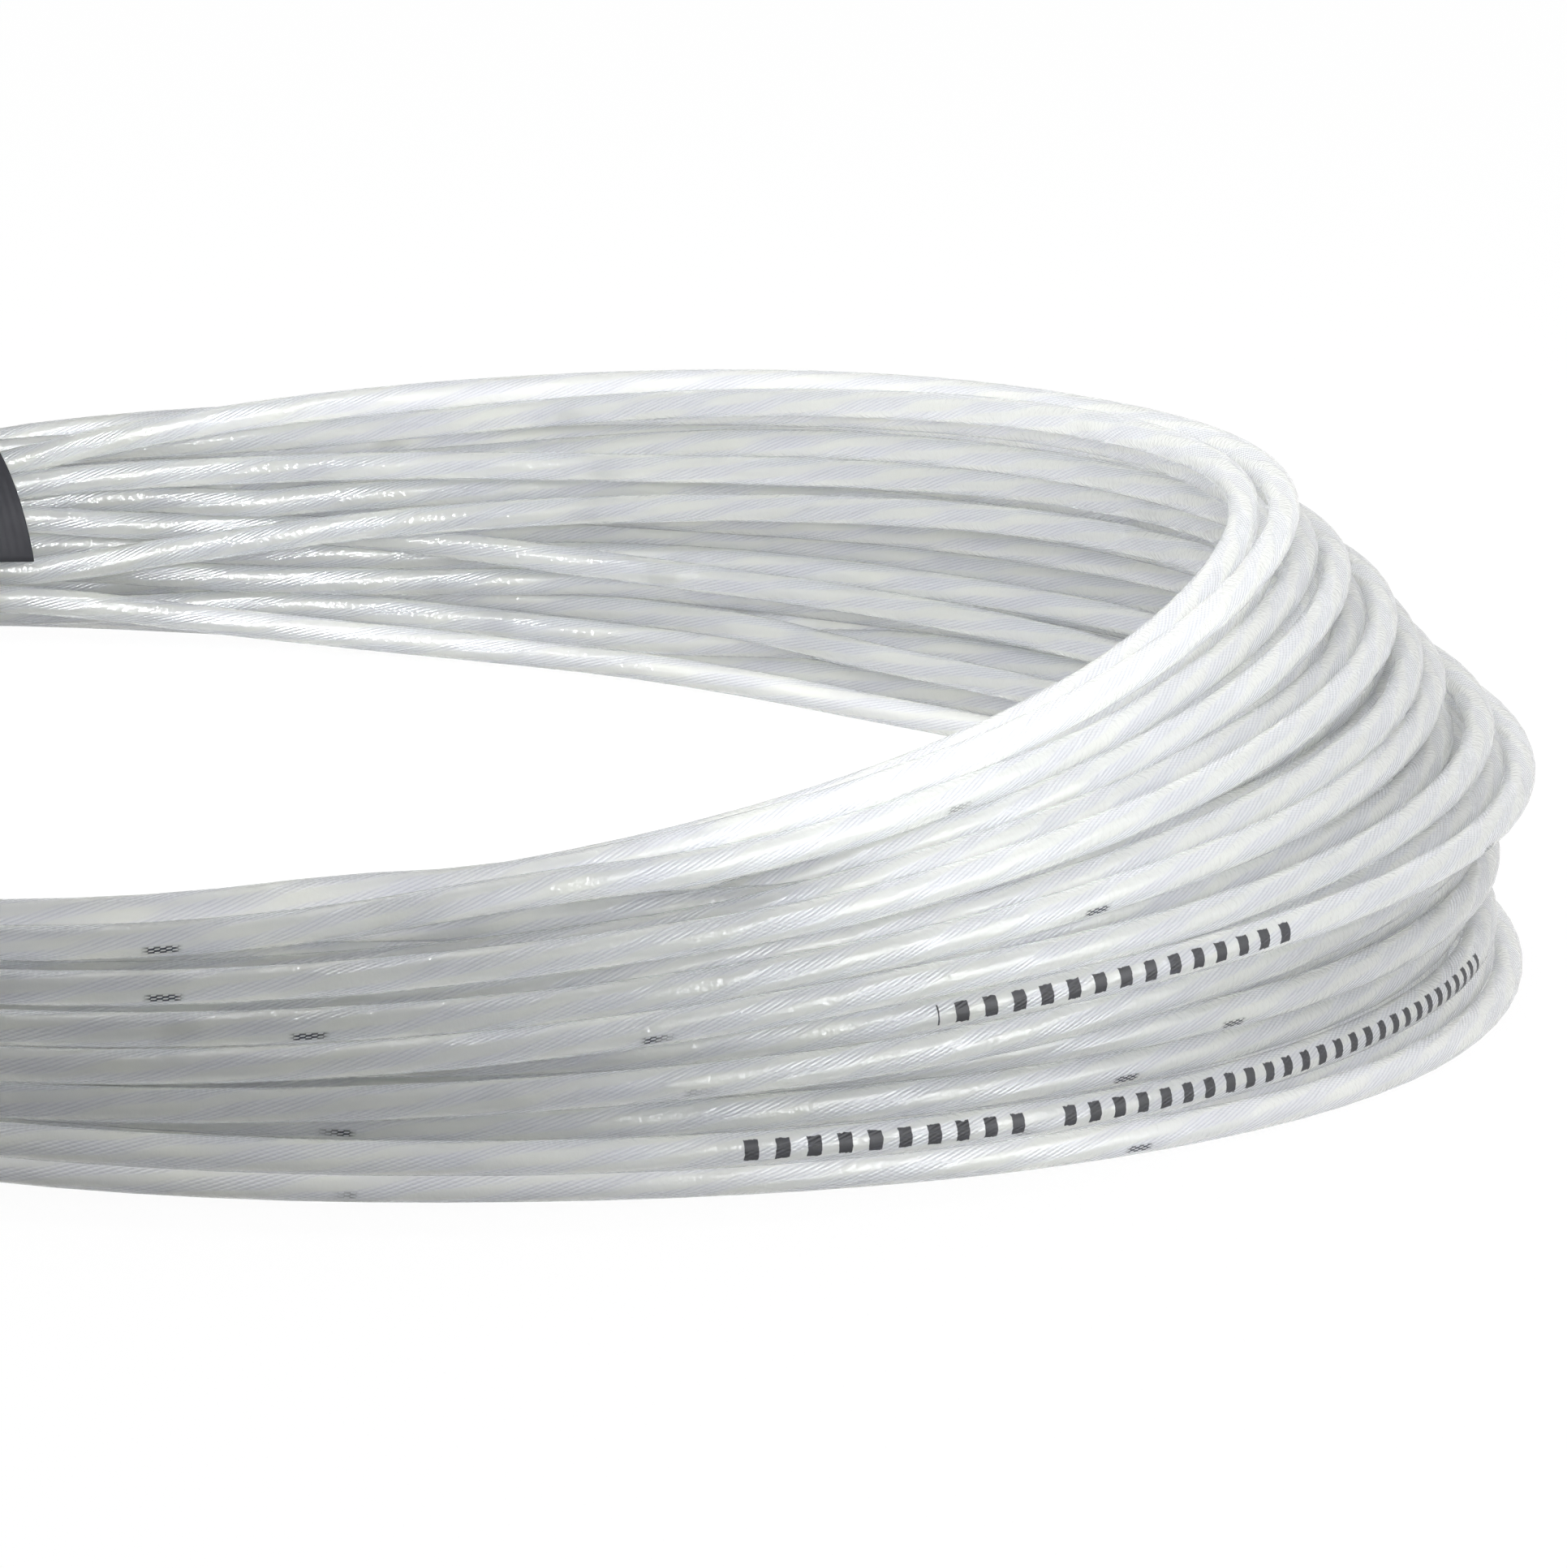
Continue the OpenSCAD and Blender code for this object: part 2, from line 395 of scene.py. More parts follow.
# %% [markdown]
# ## From the route to one long tube
#
# A curve with a round bevel would be the shortest way to a tube. A mesh is used because the
# string's pattern has to follow it: the windings go round and along the string, so each
# corner needs its place in millimetres along the string and in turns round it. These two
# numbers are the UV map. The rings keep one side outwards, so the tube never twists.

# %% The string
SIDES = 20
MAP_NAME = "string_map"
CAP_PLACE = [0.0, 0.5]


def in_space(angles, route):
    turn = np.radians(angles)
    return np.stack([route[:, 0]*np.cos(turn), route[:, 0]*np.sin(turn), route[:, 1]], 1)


def cut_to_length(points, length):
    """The first stretch of the points that is exactly that long."""
    steps = np.linalg.norm(np.diff(points, axis=0), axis=1)
    along = np.concatenate([[0], np.cumsum(steps)])
    last = int(np.searchsorted(along, length))
    share = (length - along[last - 1])/steps[last - 1]
    end = points[last - 1] + (points[last] - points[last - 1])*share
    return np.concatenate([points[:last], [end]]), np.append(along[:last], length)


def unit(vectors):
    return vectors/np.linalg.norm(vectors, axis=-1, keepdims=True)


def tube(name, points, along, radius):
    """A closed tube round the points, with its own map: millimetres along, turns round."""
    count = len(points)
    ahead = unit(np.gradient(points, axis=0))
    out = points*[1, 1, 0]
    out = unit(out - (out*ahead).sum(1, keepdims=True)*ahead)
    up = np.cross(out, ahead)
    turn = np.arange(SIDES)*math.tau/SIDES
    ring = out[:, None]*np.cos(turn)[:, None] + up[:, None]*np.sin(turn)[:, None]
    corners = (points[:, None] + ring*radius).reshape(-1, 3)
    start = np.arange(count - 1)[:, None]*SIDES
    side, next_side = np.arange(SIDES), (np.arange(SIDES) + 1) % SIDES
    quads = np.stack([start + side, start + side + SIDES,
                      start + next_side + SIDES, start + next_side], -1).reshape(-1, 4)
    first_cap = np.arange(SIDES)
    last_cap = (count - 1)*SIDES + np.arange(SIDES)[::-1]
    mesh = bpy.data.meshes.new(name)
    mesh.from_pydata(corners*MM + np.array(ring_centre), [],
                     [*quads.tolist(), first_cap.tolist(), last_cap.tolist()])
    place = np.empty((count - 1, SIDES, 4, 2))
    place[..., 0] = np.stack([along[:-1], along[1:], along[1:], along[:-1]], 1)[:, None]
    place[..., 1] = np.stack([side, side, side + 1, side + 1], 1)/SIDES
    caps = np.full((2*SIDES, 2), CAP_PLACE)
    places = np.concatenate([place.reshape(-1, 2), caps])
    mesh.uv_layers.new(name=MAP_NAME).data.foreach_set("uv", places.ravel())
    mesh.shade_smooth()
    mesh.update()
    return bpy.data.objects.new(name, mesh)


tip_way = unit(free_end[-1] - free_end[-2])
tip = [free_end[-1] + tip_way*TIP_LENGTH, free_end[-1]]
line, along = cut_to_length(np.concatenate([tip, in_space(angles, route)]), STRING_LENGTH)
string = tube("string", line, along, STRING_R)
bpy.context.collection.objects.link(string)
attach(string, "root")
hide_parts("turns_bottom", "turns_lower", "turns_middle", "turns_upper", "turns_top",
            "string_start", "string_tip")
print("The string has", len(string.data.polygons), "faces and", round(along[-1]/1000, 2), "m")

# %% [markdown]
# ## The twist ties
#
# A twist tie is a flat plastic strip with a steel wire in its middle. The strip goes once
# round the bundle, and its two ends are twisted together. One end is long: it is folded down
# over the band. Modelled flat and bent by a modifier, the strip would stretch at the sharp
# twist. So its outline is drawn once, spun round the bundle for the band and the fold, and
# carried along a list of places for the twisted ends.

# %% Outline of the strip
# From the wire to the strip's edge: distance from the wire, and half the thickness there
STRIP_HALF = [(0, 0.2), (0.13, 0.19), (0.27, 0.14), (0.42, 0.09), (0.65, 0.075),
              (2.4, 0.075), (2.48, 0.045), (2.5, 0)]
WIRE_R = 0.125
WIRE_SIDES = 12
DEGREES_PER_STEP = 3
SAME_CORNER = 1e-4
ACROSS = "across"


def strip_outline():
    """The strip's outline as a loop of edges. X is its thickness and Y goes across it."""
    shape = bmesh.new()
    across = shape.verts.layers.float.new(ACROSS)
    corners = [shape.verts.new((thick, out, 0)) for out, thick in STRIP_HALF]
    for before, after in zip(corners, corners[1:]):
        shape.edges.new((before, after))
    for axis in ("X", "Y"):
        bmesh.ops.mirror(shape, geom=shape.verts[:] + shape.edges[:], axis=axis,
                         merge_dist=SAME_CORNER)
    for corner in shape.verts:
        corner[across] = corner.co.y
    return shape


def wire_outline():
    shape = bmesh.new()
    bmesh.ops.create_circle(shape, segments=WIRE_SIDES, radius=WIRE_R)
    return shape


def around(angle):
    """From a place on the bundle's outer side to the same place at that angle round it."""
    return Matrix.Rotation(-math.radians(angle), 4, "Y")


def spun(shape, start, radius, angle, shift=0.0):
    """The outline spun round the bundle, with its ends closed unless it goes all the way."""
    steps = math.ceil(angle/DEGREES_PER_STEP)
    bmesh.ops.transform(shape, matrix=around(start) @ Matrix.Translation((radius, 0, 0)),
                        verts=shape.verts)
    full = angle == 360
    bmesh.ops.spin(shape, geom=shape.verts[:] + shape.edges[:], cent=(0, 0, 0),
                   axis=(0, -1, 0), dvec=(0, -shift/steps, 0), angle=math.radians(angle),
                   steps=steps, use_merge=full)
    if not full:
        bmesh.ops.holes_fill(shape, edges=shape.edges[:])
    return shape


def carried(shape, places):
    """The outline carried from place to place, with its ends closed."""
    bmesh.ops.transform(shape, matrix=places[0], verts=shape.verts)
    edges = shape.edges[:]
    for before, after in zip(places, places[1:]):
        grown = bmesh.ops.extrude_edge_only(shape, edges=edges)["geom"]
        corners = [part for part in grown if isinstance(part, bmesh.types.BMVert)]
        edges = [part for part in grown
                 if isinstance(part, bmesh.types.BMEdge) and part.is_boundary]
        bmesh.ops.transform(shape, matrix=after @ before.inverted(), verts=corners)
    bmesh.ops.holes_fill(shape, edges=shape.edges[:])
    return shape


outline = strip_outline()
print("The strip's outline has", len(outline.verts), "corners")
outline.free()

# %% [markdown]
# ## The twisted ends
#
# Each end lifts off the band, meets the other in a pinched neck, bends over, and runs along
# the bundle. From the neck on, both ends turn round one axis, so one list of places serves
# both: the sign says which side of the axis the end is on.

# %% Places of the twisted ends
TIE_NECK_ANGLE = 112
FOLD_ANGLE = 73
FOLD_SLANT = 1.6
WIRE_PAST_FOLD = 5
LIFT_OFF_R = 0.85
SUNK_IN_BAND = 0.1
NECK_HEIGHT = 2.2
NECK_BEND_R = 1.2
BEND_STEPS = 10
TWIST_L = 9.0
TWIST_TURNS = 1.5
TWIST_STEPS = 72
WIDENING = 3
WIRE_OUT = 0.5
WIDTH_AT_BAND = 0.9
WIDTH_AT_NECK = 0.32
WIDTH_TWISTED = 0.64

tie_bore = bundle_r + TIE_GAP
wire_ring_r = tie_bore + STRIP_T/2
fold_ring_r = wire_ring_r + STRIP_T
neck_r = wire_ring_r + NECK_HEIGHT


def place_on_axis(out, along, side, offset, bend, lean, twist, width):
    """A place of one strip: out from the bundle's middle and along it, beside the neck's axis."""
    return (around(TIE_NECK_ANGLE) @ Matrix.Translation((out, along, 0))
            @ Matrix.Rotation(bend, 4, "Z") @ Matrix.Rotation(twist, 4, "X")
            @ Matrix.Translation((0, 0, side*offset))
            @ Matrix.Rotation(side*lean - math.pi/2, 4, "Y") @ Matrix.Scale(width, 4, (0, 1, 0)))


def end_places(side):
    """Places from the band to the cut end, for the end on that side of the neck's axis."""
    places = []
    low = wire_ring_r - SUNK_IN_BAND
    for lean in np.radians(np.linspace(90, 0, BEND_STEPS)):
        share = 1 - lean/(math.pi/2)
        out = low + LIFT_OFF_R*(1 - math.sin(lean))
        offset = STRIP_T/2 + LIFT_OFF_R*(1 - math.cos(lean))
        width = WIDTH_AT_BAND + (WIDTH_AT_NECK - WIDTH_AT_BAND)*share
        places.append(place_on_axis(out, 0, side, offset, 0, lean, 0, width))
    for bend in np.radians(np.linspace(0, 90, BEND_STEPS)):
        out = neck_r - NECK_BEND_R*(1 - math.sin(bend))
        along = NECK_BEND_R*(1 - math.cos(bend))
        places.append(place_on_axis(out, along, side, STRIP_T/2, bend, 0, 0, WIDTH_AT_NECK))
    for share in np.linspace(0, 1, TWIST_STEPS + 1)[1:]:
        along = NECK_BEND_R + (TWIST_L - NECK_BEND_R)*share
        twist = math.tau*TWIST_TURNS*share
        width = WIDTH_AT_NECK + (WIDTH_TWISTED - WIDTH_AT_NECK)*min(WIDENING*share, 1)
        places.append(place_on_axis(neck_r, along, side, STRIP_T/2, math.pi/2, 0, twist, width))
    return places


def unscaled(place):
    where, turn, _ = place.decompose()
    return Matrix.LocRotScale(where, turn, None)


def wire_places(side):
    """The same places for the wire, which keeps its width and stands out of the cut end."""
    places = [unscaled(place) for place in end_places(side)]
    return places + [Matrix.Translation((0, WIRE_OUT, 0)) @ places[-1]]


print("Each twisted end passes through", len(end_places(1)), "places")

# %% [markdown]
# ## Two ties on the coil
#
# Each tie is the band, the folded end and the two twisted ends, put together in one mesh for
# the strip and one for the wire. The front tie is the rear one mirrored, and a mirror turns
# faces inside out, so their normals are worked out again.

# %% The ties
def joined(name, shapes, side, node):
    """One piece of a tie from several shapes, set in its place on the coil."""
    whole = bmesh.new()
    mesh = bpy.data.meshes.new(name)
    for shape in shapes:
        shape.to_mesh(mesh)
        shape.free()
        whole.from_mesh(mesh)
    place = (Matrix.Translation(ring_centre) @ Matrix.Scale(MM, 4)
             @ Matrix.Diagonal((1, side, 1, 1))
             @ Matrix.Rotation(math.radians(TIE_ANGLE), 4, "Z")
             @ Matrix.Translation((COIL_R, 0, tie_lift + bundle_r)))
    bmesh.ops.transform(whole, matrix=place, verts=whole.verts)
    bmesh.ops.recalc_face_normals(whole, faces=whole.faces)
    whole.to_mesh(mesh)
    whole.free()
    mesh.shade_smooth()
    piece = bpy.data.objects.new(name, mesh)
    bpy.context.collection.objects.link(piece)
    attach(piece, "root")
    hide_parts(node)
    return piece


wire_fold = FOLD_ANGLE + WIRE_PAST_FOLD
tie_pieces, wire_pieces = [], []
for name, side in (("rear", 1), ("front", -1)):
    strips = [spun(strip_outline(), 0, wire_ring_r, 360),
              spun(strip_outline(), TIE_NECK_ANGLE, fold_ring_r, FOLD_ANGLE, FOLD_SLANT),
              carried(strip_outline(), end_places(1)), carried(strip_outline(), end_places(-1))]
    tie_pieces.append(joined(name + "_tie", strips, side, name + "_tie_strip"))
    wires = [spun(wire_outline(), 0, wire_ring_r, 360),
             spun(wire_outline(), TIE_NECK_ANGLE, fold_ring_r, wire_fold,
                  FOLD_SLANT*wire_fold/FOLD_ANGLE),
             carried(wire_outline(), wire_places(1)), carried(wire_outline(), wire_places(-1))]
    wire_pieces.append(joined(name + "_wire", wires, side, name + "_tie_wire"))
print("Faces of a tie:", len(tie_pieces[0].data.polygons), "and of its wire:",
      len(wire_pieces[0].data.polygons))

# %% [markdown]
# ## Small helpers for materials
#
# A procedural material is a small sum: waves, noises and ramps that end in a colour, a
# roughness or a bump. Written node by node it is long, so these helpers make one node each
# and return its output. A plain number goes straight into the node's own socket.

# %% Node helpers
def feed(tree, socket, value):
    """Link an output to the socket, or set a plain number or colour on it."""
    if isinstance(value, bpy.types.NodeSocket):
        tree.links.new(value, socket)
    else:
        socket.default_value = value


def maths(tree, operation, *values):
    node = tree.nodes.new("ShaderNodeMath")
    node.operation = operation
    for socket, value in zip(node.inputs, values):
        feed(tree, socket, value)
    return node.outputs[0]


def product(tree, first, *rest):
    for value in rest:
        first = maths(tree, "MULTIPLY", first, value)
    return first


def total(tree, first, *rest):
    for value in rest:
        first = maths(tree, "ADD", first, value)
    return first


def wave(tree, phase):
    """A cosine that is 1 at every whole number of the phase."""
    return maths(tree, "COSINE", maths(tree, "MULTIPLY", phase, math.tau))


def ramp(tree, value, low, high, start=0.0, end=1.0):
    """A smooth step from start to end as the value goes from low to high."""
    node = tree.nodes.new("ShaderNodeMapRange")
    node.interpolation_type = "SMOOTHSTEP"
    for socket, number in zip(node.inputs, (value, low, high, start, end)):
        feed(tree, socket, number)
    return node.outputs[0]


def noise(tree, where, scale, detail=2.0):
    """Soft noise about 0.5, on coordinates in metres."""
    node = tree.nodes.new("ShaderNodeTexNoise")
    tree.links.new(where, node.inputs["Vector"])
    node.inputs["Scale"].default_value = scale
    node.inputs["Detail"].default_value = detail
    return node.outputs["Fac"]


def blended(tree, share, first, second):
    """A colour between two colours."""
    node = tree.nodes.new("ShaderNodeMix")
    node.data_type = "RGBA"
    for name, value in (("Factor_Float", share), ("A_Color", first), ("B_Color", second)):
        feed(tree, next(s for s in node.inputs if s.identifier == name), value)
    return next(s for s in node.outputs if s.identifier == "Result_Color")


def bumped(tree, height, distance, strength):
    node = tree.nodes.new("ShaderNodeBump")
    node.inputs["Strength"].default_value = strength
    node.inputs["Distance"].default_value = distance
    tree.links.new(height, node.inputs["Height"])
    return node.outputs["Normal"]


def new_material(name):
    """A material with its node tree, its Principled shader and its Object coordinates."""
    material = bpy.data.materials.new(name)
    material.use_nodes = True
    tree = material.node_tree
    shader = tree.nodes["Principled BSDF"]
    where = tree.nodes.new("ShaderNodeTexCoord").outputs["Object"]
    return material, tree, shader, where


# %% [markdown]
# ## The string's material
#
# Round a solid core, fine nylon threads are wound in two layers, one across the other, and a
# clear coat closes them in. Where the layers lie out of step, the string shows fine slanted
# lines and its threads glint. Where they lie in step it looks smooth and milky. So long
# slanted leaves of the two looks follow each other. In a few places the threads part, and
# dark dashes show between them.
#
# All of this is drawn on the map of the tube: `run` is in millimetres along the string, and
# `turn` is in turns round it. Every wave goes round a whole number of times, so that the
# pattern closes on itself.

# %% The string's pattern
THREADS = 26
THREAD_LAY = 11.2
LEAVES = 4
LEAF_LAY = 26.0
LEAF_BACK = 3
LEAF_BACK_LAY = 34.0
LEAF_CONTRAST = 0.7
LEAF_BACK_CONTRAST = 0.35
PATCH_CONTRAST = 1.6
DASH_EVERY = 33.0
DASH_TURN = 0.93
# Where a dash fades in, from nothing to full: on its waves, on the threads and on the noise
DASH_ALONG = (0.988, 0.996)
DASH_ROUND = (0.95, 0.985)
DASH_THREADS = (-0.5, -0.1)
DASH_PLACES = (0.46, 0.52)

material, tree, shader, where = new_material("string_nylon")
uv = tree.nodes.new("ShaderNodeUVMap")
uv.uv_map = MAP_NAME
split = tree.nodes.new("ShaderNodeSeparateXYZ")
tree.links.new(uv.outputs[0], split.inputs[0])
run, turn = split.outputs[0], split.outputs[1]


def winding(starts, lay):
    """A wave wound round the string: that many starts, and one turn in that many millimetres."""
    along = maths(tree, "DIVIDE", run, lay)
    return wave(tree, maths(tree, "MULTIPLY", maths(tree, "SUBTRACT", turn, along), starts))


patches = noise(tree, where, 300)
specks = noise(tree, where, 4000)
threads = winding(THREADS, THREAD_LAY)
cross_threads = winding(THREADS, -THREAD_LAY)
leaves = total(tree, product(tree, winding(LEAVES, LEAF_LAY), LEAF_CONTRAST),
               product(tree, winding(LEAF_BACK, -LEAF_BACK_LAY), LEAF_BACK_CONTRAST),
               product(tree, patches, PATCH_CONTRAST), -PATCH_CONTRAST/2)
hatched = ramp(tree, leaves, 0.55, -0.45)

# Between the threads: some short stretches, low on the outer side
crossings = total(tree, threads, product(tree, cross_threads, 0.8))
parted = product(tree,
                 ramp(tree, wave(tree, maths(tree, "DIVIDE", run, DASH_EVERY)), *DASH_ALONG),
                 ramp(tree, wave(tree, maths(tree, "SUBTRACT", turn, DASH_TURN)), *DASH_ROUND),
                 ramp(tree, crossings, *DASH_THREADS),
                 ramp(tree, noise(tree, where, 90), *DASH_PLACES))
print("The string's pattern has", THREADS, "threads and a leaf every", LEAF_LAY/LEAVES, "mm")

# %% [markdown]
# ## Marks on the string
#
# A string of this kind carries a row of printed marks in a few places. Here they are plain
# black bars. The turn and the two angles round the coil say where a row starts and ends, and
# the tube's own lengths turn them into millimetres along the string.

# %% Printed bars
PRINTS = [(8, -66.5, -53.5), (8, -51.5, -14.0), (20, -58.0, -38.5)]
BAR_EVERY = 1.3
BAR_LENGTH = 0.6
BAR_HALF_TURN = 0.1
BAR_TURN = 0.03
BAR_WORN = 0.5
BAR_SOFT_ALONG = 0.06
BAR_SOFT_ROUND = 0.015


def run_at(turn_number, angle):
    """Millimetres along the string where that turn passes that angle round the coil."""
    stations = along[len(tip):]
    return float(np.interp(360*turn_number + angle, angles[:len(stations)], stations))


def soft_edge(value, edge, soft):
    return ramp(tree, value, edge - soft, edge + soft)


worn = product(tree, maths(tree, "SUBTRACT", specks, 0.5), BAR_WORN)
along_bars = total(tree, wave(tree, maths(tree, "DIVIDE", run, BAR_EVERY)), worn)
round_bars = total(tree, wave(tree, maths(tree, "SUBTRACT", turn, BAR_TURN)),
                   product(tree, worn, 0.3))
bars = product(tree,
               soft_edge(along_bars, math.cos(math.pi*BAR_LENGTH/BAR_EVERY), BAR_SOFT_ALONG),
               soft_edge(round_bars, math.cos(math.tau*BAR_HALF_TURN), BAR_SOFT_ROUND))
rows = 0.0
for turn_number, first, last in PRINTS:
    begin, end = run_at(turn_number, first), run_at(turn_number, last)
    row = product(tree, maths(tree, "GREATER_THAN", run, begin),
                  maths(tree, "LESS_THAN", run, end))
    rows = total(tree, row, rows)
    print("A row of bars from", round(begin), "to", round(end), "mm along the string")
printed = product(tree, bars, rows)

# %% [markdown]
# ## From the pattern to a surface
#
# Clear nylon hardly takes up any light: most of it goes on into the next strand, so the
# strands melt into each other and even the gaps are pale. A subsurface shader would make the
# gaps darker, because much of its light gets lost inside thin strands.
# Here the surface lets nearly all light through, but roughly, like frosted glass. Each strand
# tints the light again, so the pattern's colours stay close to white: the smooth leaves are
# ivory and the hatched ones are cooler, with darker lines between the threads.
#
# The clear coat has a bump of its own. In the hatched leaves the threads break its highlight
# into short glints. In the smooth leaves a fine grain spreads it until it can't be seen. The
# ink is dull, so the coat is left out there and at the dark dashes.

# %% The string's surface
IVORY = (0.945, 0.95, 0.89, 1)
COOL = (0.94, 0.95, 0.99, 1)
LINE = (0.68, 0.69, 0.75, 1)
DASH = (0.001, 0.0015, 0.004, 1)
INK = (0.001, 0.001, 0.002, 1)
RELIEF = 0.02*MM
COAT = 0.9

colour = blended(tree, hatched, IVORY, COOL)
lines = product(tree, hatched, ramp(tree, threads, 0.2, -0.9))
colour = blended(tree, lines, colour, LINE)
colour = blended(tree, parted, colour, DASH)
colour = blended(tree, printed, colour, INK)
feed(tree, shader.inputs["Base Color"], colour)

height = total(tree, product(tree, hatched, threads, 0.5),
               product(tree, hatched, cross_threads, 0.15), product(tree, specks, 0.8))
feed(tree, shader.inputs["Normal"], bumped(tree, height, RELIEF, 1.0))
shader.inputs["Roughness"].default_value = 0.6
shader.inputs["IOR"].default_value = 1.53
shader.inputs["Specular IOR Level"].default_value = 0.3
shader.inputs["Transmission Weight"].default_value = 0.97

coated = maths(tree, "SUBTRACT", 1.0, maths(tree, "MAXIMUM", parted, printed))
smooth = product(tree, maths(tree, "SUBTRACT", 1.0, hatched), coated)
grain = total(tree, 0.5, product(tree, smooth, 4.0))
coat_height = total(tree, product(tree, hatched, threads, 0.35),
                    product(tree, hatched, cross_threads, 0.2), product(tree, specks, grain))
feed(tree, shader.inputs["Coat Normal"], bumped(tree, coat_height, RELIEF, 1.0))
feed(tree, shader.inputs["Coat Weight"], product(tree, coated, COAT))
shader.inputs["Coat Roughness"].default_value = 0.1
string.data.materials.append(material)
print("Nodes in the string's material:", len(tree.nodes))

# %% [markdown]
# ## Black plastic and galvanised wire
#
# The strip is satin black plastic with fine grooves along it. They follow the attribute that
# was stored on the outline, the distance across the strip, so they stay parallel to its edges
# through every twist. The wire shows only at the cut ends.

# %% The ties' materials
GROOVE_PITCH = 0.42
BLACK = (0.005, 0.005, 0.007, 1)
WORN_BLACK = (0.014, 0.014, 0.016, 1)
STEEL = (0.5, 0.51, 0.53, 1)
ZINC = (0.7, 0.7, 0.7, 1)

plastic, tree, shader, where = new_material("tie_plastic")
across = tree.nodes.new("ShaderNodeAttribute")
across.attribute_name = ACROSS
grooves = wave(tree, maths(tree, "DIVIDE", across.outputs["Fac"], GROOVE_PITCH))
grain = noise(tree, where, 900)
feed(tree, shader.inputs["Base Color"],
     blended(tree, noise(tree, where, 350), BLACK, WORN_BLACK))
feed(tree, shader.inputs["Roughness"], ramp(tree, grain, 0.3, 0.7, 0.55, 0.7))
height = total(tree, product(tree, grooves, 0.3), grain)
feed(tree, shader.inputs["Normal"], bumped(tree, height, 0.03*MM, 0.6))
shader.inputs["Specular IOR Level"].default_value = 0.2

steel, tree, shader, where = new_material("tie_wire")
feed(tree, shader.inputs["Base Color"],
     blended(tree, noise(tree, where, 2500), STEEL, ZINC))
feed(tree, shader.inputs["Roughness"], ramp(tree, noise(tree, where, 1500), 0.3, 0.7, 0.28, 0.45))
shader.inputs["Metallic"].default_value = 1.0

for piece in tie_pieces:
    piece.data.materials.append(plastic)
for piece in wire_pieces:
    piece.data.materials.append(steel)
print("Materials on the ties:", plastic.name, steel.name)

# %% [markdown]
# ## Table
#
# The table is plain and white, and it shows no edge, so its far side melts into a white
# background. A white surface lit to exactly 1 would do, but then the lamps could never be
# changed. Here the camera, and glossy things, see most of it as plain white, and the rest
# still takes the coil's soft shadow.

# %% Table
TABLE_HALF = 3.0
TABLE_SEEN_WHITE = 0.96
TABLE_COLOUR = (0.9, 0.9, 0.9, 1)

table_shape = bmesh.new()
bmesh.ops.create_grid(table_shape, x_segments=1, y_segments=1, size=TABLE_HALF)
table_mesh = bpy.data.meshes.new("table")
table_shape.to_mesh(table_mesh)
table_shape.free()
table = bpy.data.objects.new("table", table_mesh)
bpy.context.collection.objects.link(table)


def seen_directly(tree):
    """1 where the camera, a mirror or a clear thing looks at the surface, 0 where it lights."""
    rays = tree.nodes.new("ShaderNodeLightPath").outputs
    return maths(tree, "MAXIMUM", rays["Is Camera Ray"],
                 maths(tree, "MAXIMUM", rays["Is Glossy Ray"], rays["Is Transmission Ray"]))


material, tree, shader, _ = new_material("table_white")
shader.inputs["Base Color"].default_value = TABLE_COLOUR
shader.inputs["Roughness"].default_value = 0.6
white = tree.nodes.new("ShaderNodeEmission")
mix = tree.nodes.new("ShaderNodeMixShader")
feed(tree, mix.inputs[0], product(tree, seen_directly(tree), TABLE_SEEN_WHITE))
feed(tree, mix.inputs[1], shader.outputs[0])
feed(tree, mix.inputs[2], white.outputs[0])
feed(tree, tree.nodes["Material Output"].inputs["Surface"], mix.outputs[0])
table_mesh.materials.append(material)
print("The table reaches", TABLE_HALF, "m from the coil")

# %% [markdown]
# ## Light
#
# The world is a soft fill, dim on the camera's side and bright behind the coil and to its
# right, so the nylon is lit through. Three lamps shape it: a small one overhead for sharp
# glints on the coat, a low one at the near right that fills the gaps of the fan, and one above
# the near side that faces the far side. It lights the inside of the ring from the viewer's
# side, so the gaps there stay pale too, and the camera doesn't see it. Light goes through many
# strands before it leaves the coil, so the paths need many bounces. With few of them the gaps
# turn dark.

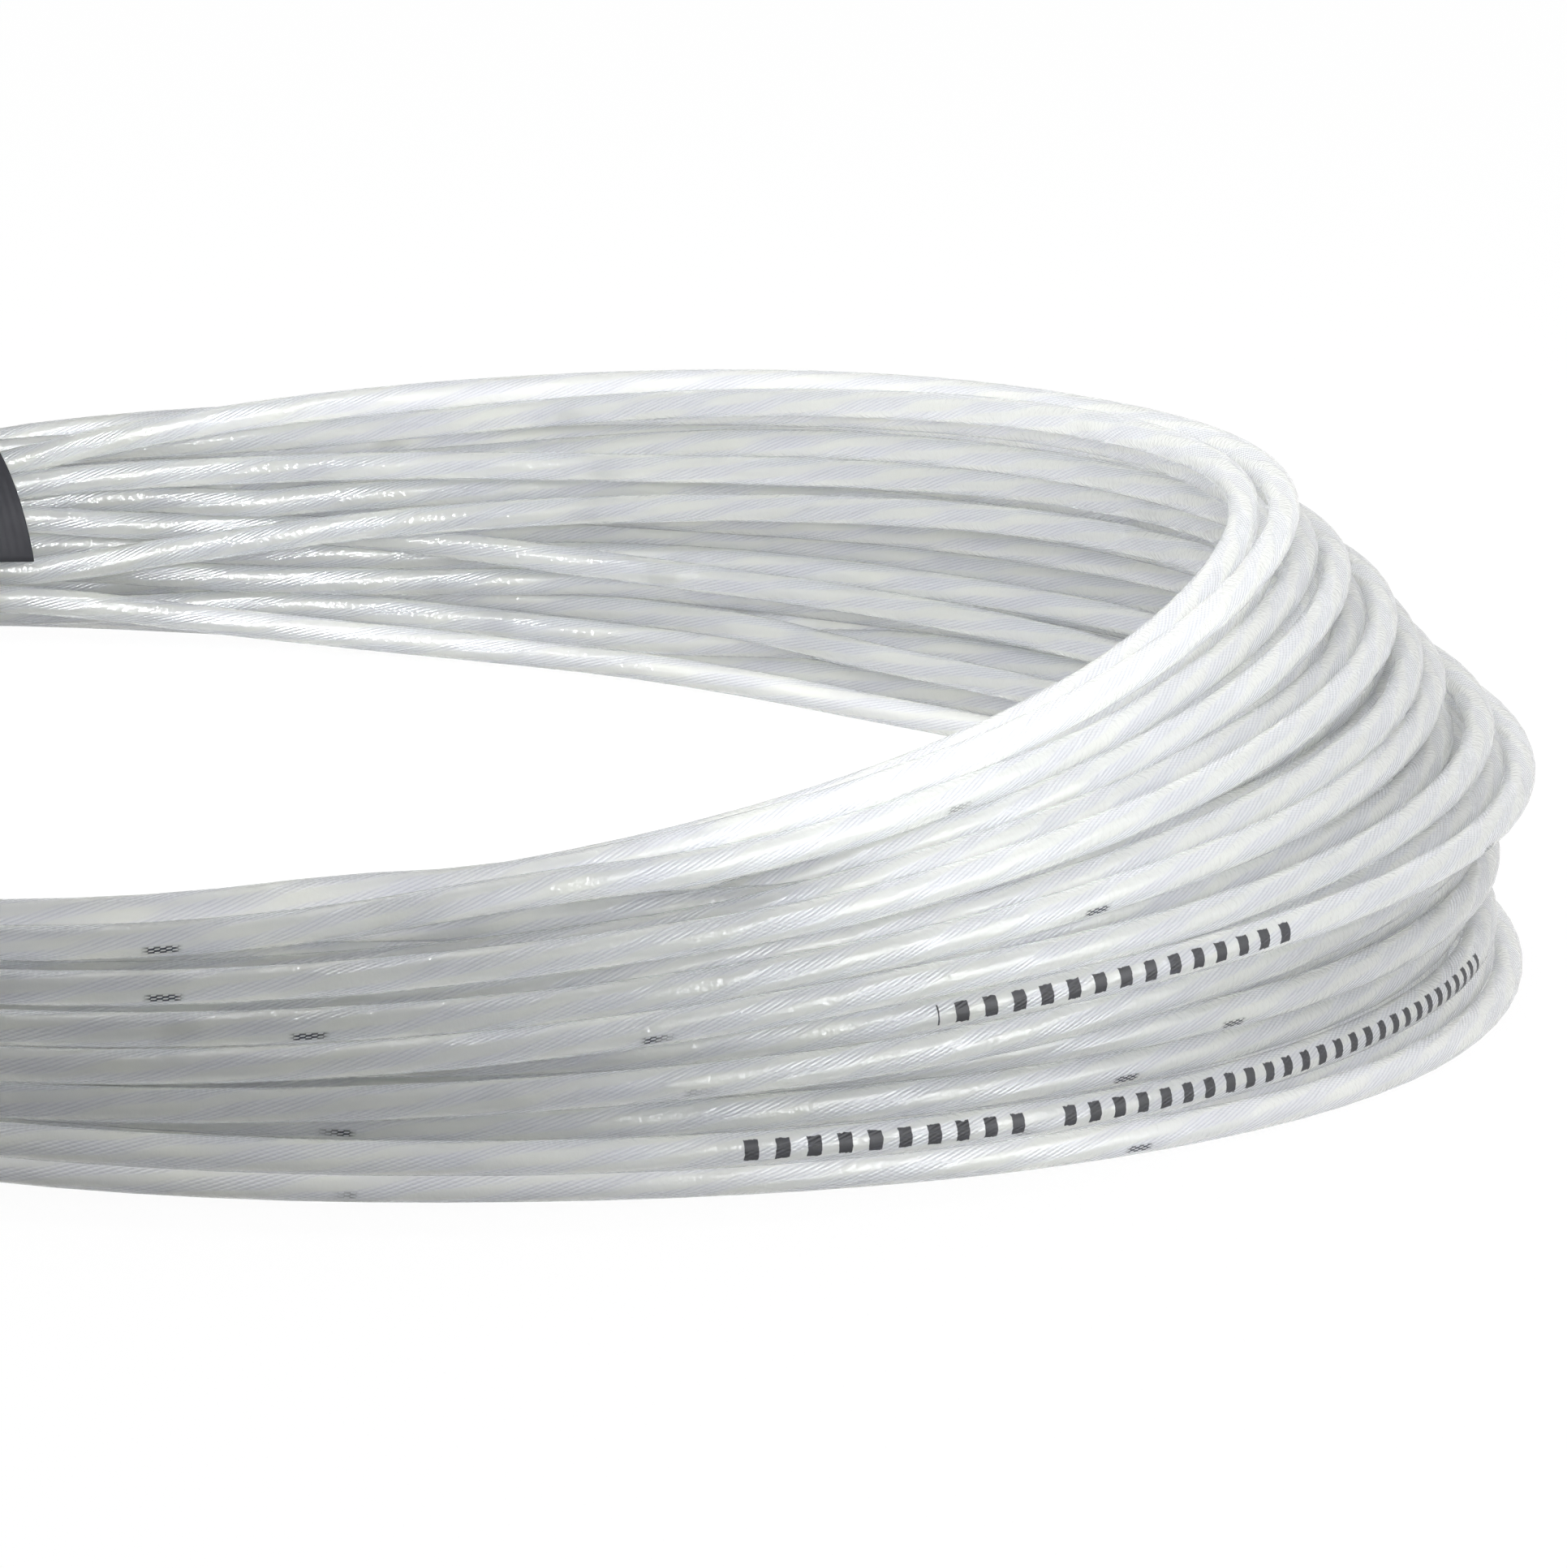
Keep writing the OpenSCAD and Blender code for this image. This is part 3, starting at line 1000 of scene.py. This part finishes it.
# %% Lights
WORLD_FRONT = 0.15
WORLD_BACK = 1.3
WORLD_TOWARD = (0.6, 0.8, 0.0)
BOUNCES = 32
LAMP_COLOUR = (0.97, 0.985, 1.0)

bpy.context.scene.cycles.max_bounces = BOUNCES
bpy.context.scene.cycles.diffuse_bounces = BOUNCES
bpy.context.scene.cycles.glossy_bounces = BOUNCES
bpy.context.scene.cycles.transmission_bounces = BOUNCES

world = bpy.data.worlds.new("studio")
bpy.context.scene.world = world
world.use_nodes = True
tree = world.node_tree
toward = tree.nodes.new("ShaderNodeVectorMath")
toward.operation = "DOT_PRODUCT"
feed(tree, toward.inputs[0], tree.nodes.new("ShaderNodeTexCoord").outputs["Generated"])
feed(tree, toward.inputs[1], WORLD_TOWARD)
level = ramp(tree, toward.outputs["Value"], -1.0, 1.0, WORLD_FRONT, WORLD_BACK)
missing = product(tree, seen_directly(tree), maths(tree, "SUBTRACT", 1.0, level))
background = tree.nodes["Background"]
background.inputs["Color"].default_value = (1, 1, 1, 1)
feed(tree, background.inputs["Strength"], total(tree, level, missing))


def lamp(name, place, aim, size, watts, spread=180):
    """A square lamp that looks from its place at a point."""
    data = bpy.data.lights.new(name, "AREA")
    data.size = size
    data.energy = watts
    data.spread = math.radians(spread)
    data.color = LAMP_COLOUR
    item = bpy.data.objects.new(name, data)
    bpy.context.collection.objects.link(item)
    item.location = place
    item.visible_camera = False
    item.rotation_euler = (Vector(aim) - Vector(place)).to_track_quat("-Z", "Y").to_euler()
    print("Lamp", name, "at", place, "with", watts, "W")


lamp("overhead", place=(0, 0.05, 0.45), aim=ring_centre, size=0.06, watts=0.5)
lamp("near_right", place=(0.2, -0.1, 0.06), aim=ring_centre, size=0.12, watts=0.44)
lamp("inside", place=(0.015, -0.045, 0.045), aim=(0.03, 0.048, 0.008), size=0.05, watts=0.1,
     spread=80)

# %% [markdown]
# ## The end
#
# This last cell only imports json.

# %% The end
import json
